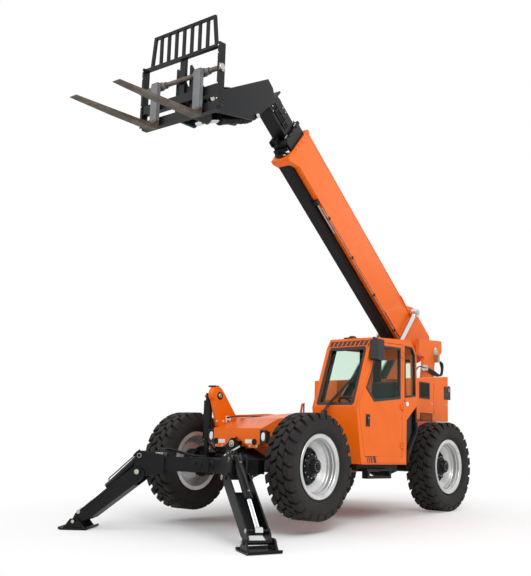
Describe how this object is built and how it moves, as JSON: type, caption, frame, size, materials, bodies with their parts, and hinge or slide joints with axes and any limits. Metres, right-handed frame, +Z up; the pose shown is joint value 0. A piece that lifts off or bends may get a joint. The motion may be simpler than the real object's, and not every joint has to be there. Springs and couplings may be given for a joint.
{
  "type": "telehandler",
  "caption": "Rough-terrain lift machine: telescopic boom with pallet forks on a tilting carriage, side cab, steered wheels and hinged front outriggers.",
  "frame": {"origin": "centre of the bounding box at ground level, under the rear tyres and the outrigger feet", "axes": "+X forward, towards the fork tips; +Y to the machine's left, the cab side; +Z up"},
  "size_m": [7.411, 3.61, 6.4878],
  "materials": {
    "black_plastic": "matt",
    "body_paint": "gloss orange",
    "dark_paint": "satin black",
    "glazing": "clear",
    "grey_paint": "satin grey",
    "lamp_plastic": "gloss",
    "rod_chrome": "polished",
    "seat_fabric": "woven",
    "steel": "worn",
    "tyre_rubber": "matt",
    "wheel_paint": "satin silver"
  },
  "bodies": {
    "chassis": {"chassis_frame": "body_paint", "levelling_horn": "body_paint", "levelling_cylinder": "dark_paint", "front_axle": "dark_paint", "rear_axle": "dark_paint", "boom_tower": "body_paint", "outrigger_frame": "dark_paint", "cab_shell": "body_paint", "cab_glass": "glazing", "seat": "seat_fabric", "steering_column": "black_plastic", "cab_mount": "dark_paint", "mirror": "black_plastic", "rear_boxes": "body_paint", "engine_tray": "dark_paint", "engine": "grey_paint", "headlamps": "black_plastic", "tail_lamps": "lamp_plastic"},
    "boom": {"boom_outer": "body_paint"},
    "boom_mid": {"boom_mid": "dark_paint"},
    "boom_inner": {"boom_inner": "dark_paint", "boom_head": "dark_paint"},
    "fork_carriage": {"carriage": "dark_paint", "fork_shaft": "steel", "forks": "dark_paint"},
    "tilt_barrel": {"tilt_barrel": "dark_paint"},
    "tilt_rod": {"tilt_rod": "rod_chrome"},
    "lift_barrels": {"lift_barrels": "dark_paint"},
    "lift_rods": {"lift_rods": "rod_chrome"},
    "cab_door": {"cab_door": "body_paint", "door_glass": "glazing"},
    "engine_lid": {"engine_lid": "body_paint"},
    "steer_front_left": {"knuckle_front_left": "dark_paint"},
    "wheel_front_left": {"tyre_front_left": "tyre_rubber", "rim_front_left": "wheel_paint", "hub_front_left": "dark_paint"},
    "steer_front_right": {"knuckle_front_right": "dark_paint"},
    "wheel_front_right": {"tyre_front_right": "tyre_rubber", "rim_front_right": "wheel_paint", "hub_front_right": "dark_paint"},
    "steer_rear_left": {"knuckle_rear_left": "dark_paint"},
    "wheel_rear_left": {"tyre_rear_left": "tyre_rubber", "rim_rear_left": "wheel_paint", "hub_rear_left": "dark_paint"},
    "steer_rear_right": {"knuckle_rear_right": "dark_paint"},
    "wheel_rear_right": {"tyre_rear_right": "tyre_rubber", "rim_rear_right": "wheel_paint", "hub_rear_right": "dark_paint"},
    "leg_left": {"outrigger_leg_left": "dark_paint"},
    "foot_left": {"outrigger_foot_left": "dark_paint"},
    "leg_barrel_left": {"outrigger_barrel_left": "dark_paint"},
    "leg_rod_left": {"outrigger_rod_left": "rod_chrome"},
    "leg_right": {"outrigger_leg_right": "dark_paint"},
    "foot_right": {"outrigger_foot_right": "dark_paint"},
    "leg_barrel_right": {"outrigger_barrel_right": "dark_paint"},
    "leg_rod_right": {"outrigger_rod_right": "rod_chrome"}
  },
  "joints": [
    {"name": "front_left_steer", "type": "hinge", "parent": "chassis", "child": "steer_front_left", "pos_m": [1.00846, 0.8, 0.81837], "axis": [-0.0468, 0, 0.9989], "range_deg": [-30, 30]},
    {"name": "front_left_spin", "type": "hinge", "parent": "steer_front_left", "child": "wheel_front_left", "pos_m": [1.00846, 1.065, 0.81837], "axis": [0, 1, 0], "continuous": true},
    {"name": "front_right_steer", "type": "hinge", "parent": "chassis", "child": "steer_front_right", "pos_m": [1.00846, -0.8, 0.81837], "axis": [-0.0468, 0, 0.9989], "range_deg": [-30, 30]},
    {"name": "front_right_spin", "type": "hinge", "parent": "steer_front_right", "child": "wheel_front_right", "pos_m": [1.00846, -1.065, 0.81837], "axis": [0, 1, 0], "continuous": true},
    {"name": "rear_left_steer", "type": "hinge", "parent": "chassis", "child": "steer_rear_left", "pos_m": [-2.26795, 0.8, 0.665], "axis": [-0.0468, 0, 0.9989], "range_deg": [-30, 30]},
    {"name": "rear_left_spin", "type": "hinge", "parent": "steer_rear_left", "child": "wheel_rear_left", "pos_m": [-2.26795, 1.065, 0.665], "axis": [0, 1, 0], "continuous": true},
    {"name": "rear_right_steer", "type": "hinge", "parent": "chassis", "child": "steer_rear_right", "pos_m": [-2.26795, -0.8, 0.665], "axis": [-0.0468, 0, 0.9989], "range_deg": [-30, 30]},
    {"name": "rear_right_spin", "type": "hinge", "parent": "steer_rear_right", "child": "wheel_rear_right", "pos_m": [-2.26795, -1.065, 0.665], "axis": [0, 1, 0], "continuous": true},
    {"name": "boom_lift", "type": "hinge", "parent": "chassis", "child": "boom", "pos_m": [-3.47486, 0, 2.49557], "axis": [0, -1, 0], "range_deg": [-42.4, 31.6]},
    {"name": "boom_extend", "type": "slide", "parent": "boom", "child": "boom_mid", "axis": [0.7538, 0, 0.6571], "range_m": [0, 2.85]},
    {"name": "boom_tip_extend", "type": "slide", "parent": "boom_mid", "child": "boom_inner", "axis": [0.7538, 0, 0.6571], "range_m": [0, 2.85]},
    {"name": "lift_barrels_swing", "type": "hinge", "parent": "chassis", "child": "lift_barrels", "pos_m": [-1.24411, 0, 1.24851], "axis": [0, -1, 0], "range_deg": [-1.17, 1]},
    {"name": "lift_rods_slide", "type": "slide", "parent": "lift_barrels", "child": "lift_rods", "axis": [-0.6875, 0, 0.7262], "range_m": [-0.5565, 0.4153]},
    {"name": "fork_tilt", "type": "hinge", "parent": "boom_inner", "child": "fork_carriage", "pos_m": [1.92816, 0, 5.55154], "axis": [0, 1, 0], "range_deg": [-50, 65]},
    {"name": "tilt_barrel_swing", "type": "hinge", "parent": "boom_inner", "child": "tilt_barrel", "pos_m": [1.00183, 0, 5.55824], "axis": [0, -1, 0], "range_deg": [-1.12, 0.97]},
    {"name": "tilt_rod_slide", "type": "slide", "parent": "tilt_barrel", "child": "tilt_rod", "axis": [0.9597, 0, -0.2809], "range_m": [-0.2743, 0.2114]},
    {"name": "leg_left_swing", "type": "hinge", "parent": "chassis", "child": "leg_left", "pos_m": [2.10682, 0.828, 0.72962], "axis": [0.8694, -0.4924, 0.0407], "range_deg": [0, 127]},
    {"name": "leg_barrel_left_swing", "type": "hinge", "parent": "chassis", "child": "leg_barrel_left", "pos_m": [2.09723, 0.828, 0.9344], "axis": [0.8694, -0.4924, 0.0407], "range_deg": [0, 129.86]},
    {"name": "leg_rod_left_slide", "type": "slide", "parent": "leg_barrel_left", "child": "leg_rod_left", "axis": [0.3872, 0.6279, -0.6751], "range_m": [-0.3875, 0]},
    {"name": "foot_left_swing", "type": "hinge", "parent": "leg_left", "child": "foot_left", "pos_m": [2.53522, 1.53238, 0.10059], "axis": [0.8694, -0.4924, 0.0407], "range_deg": [-25, 25]},
    {"name": "leg_right_swing", "type": "hinge", "parent": "chassis", "child": "leg_right", "pos_m": [2.10682, -0.828, 0.72962], "axis": [-0.8694, -0.4924, -0.0407], "range_deg": [0, 127]},
    {"name": "leg_barrel_right_swing", "type": "hinge", "parent": "chassis", "child": "leg_barrel_right", "pos_m": [2.09723, -0.828, 0.9344], "axis": [-0.8694, -0.4924, -0.0407], "range_deg": [0, 129.86]},
    {"name": "leg_rod_right_slide", "type": "slide", "parent": "leg_barrel_right", "child": "leg_rod_right", "axis": [0.3872, -0.6279, -0.6751], "range_m": [-0.3875, 0]},
    {"name": "foot_right_swing", "type": "hinge", "parent": "leg_right", "child": "foot_right", "pos_m": [2.53522, -1.53238, 0.10059], "axis": [-0.8694, -0.4924, -0.0407], "range_deg": [-25, 25]},
    {"name": "cab_door_hinge", "type": "hinge", "parent": "chassis", "child": "cab_door", "pos_m": [-1.10331, 1.164, 1.55543], "axis": [-0.0468, 0, 0.9989], "range_deg": [0, 100]},
    {"name": "engine_lid_hinge", "type": "hinge", "parent": "chassis", "child": "engine_lid", "pos_m": [0.00834, -0.42, 1.65322], "axis": [-0.9989, 0, -0.0468], "range_deg": [0, 60]}
  ],
  "couplings": [
    {"joint": "front_right_steer", "follows": "front_left_steer", "ratio": 1},
    {"joint": "rear_right_steer", "follows": "rear_left_steer", "ratio": 1},
    {"joint": "boom_tip_extend", "follows": "boom_extend", "ratio": 1},
    {"joint": "lift_barrels_swing", "follows": "boom_lift", "ratio": 0.0159},
    {"joint": "lift_rods_slide", "follows": "boom_lift", "m_per_rad": 0.7493},
    {"joint": "tilt_barrel_swing", "follows": "fork_tilt", "ratio": -0.0095},
    {"joint": "tilt_rod_slide", "follows": "fork_tilt", "m_per_rad": -0.24},
    {"joint": "leg_barrel_left_swing", "follows": "leg_left_swing", "ratio": 1.0186},
    {"joint": "leg_rod_left_slide", "follows": "leg_left_swing", "m_per_rad": -0.1739},
    {"joint": "leg_barrel_right_swing", "follows": "leg_right_swing", "ratio": 1.0186},
    {"joint": "leg_rod_right_slide", "follows": "leg_right_swing", "m_per_rad": -0.1739}
  ]
}
